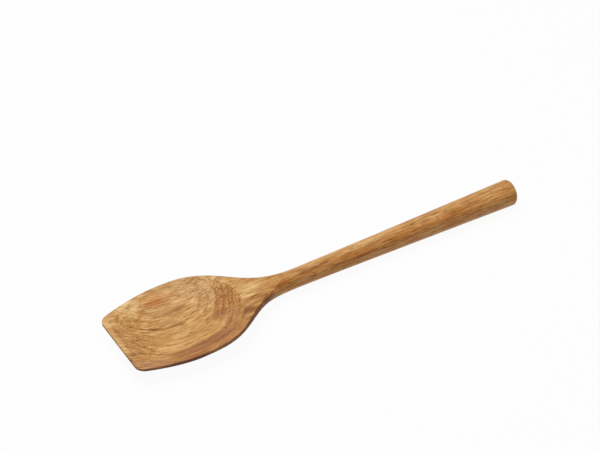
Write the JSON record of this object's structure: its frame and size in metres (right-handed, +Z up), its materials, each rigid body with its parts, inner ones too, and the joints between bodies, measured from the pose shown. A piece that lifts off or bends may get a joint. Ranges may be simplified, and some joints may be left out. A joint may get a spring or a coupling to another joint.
{
  "type": "cooking spoon",
  "caption": "Broad wooden cooking spoon with a straight tip, a shallow hollow with a flat heel behind it, and a round handle that thickens towards its end.",
  "frame": {"origin": "on the surface that the spoon lies on, below the middle of its length and on its mirror plane", "axes": "+X along the handle, away from the tip of the blade; +Z up, out of the hollow, as the spoon lies on its back; +Y to the left seen along +X"},
  "size_m": [0.3, 0.0716, 0.0183],
  "materials": {
    "oiled_wood": "oiled, satin, long-grained oak"
  },
  "bodies": {
    "root": {"spoon": "oiled_wood"}
  },
  "joints": []
}
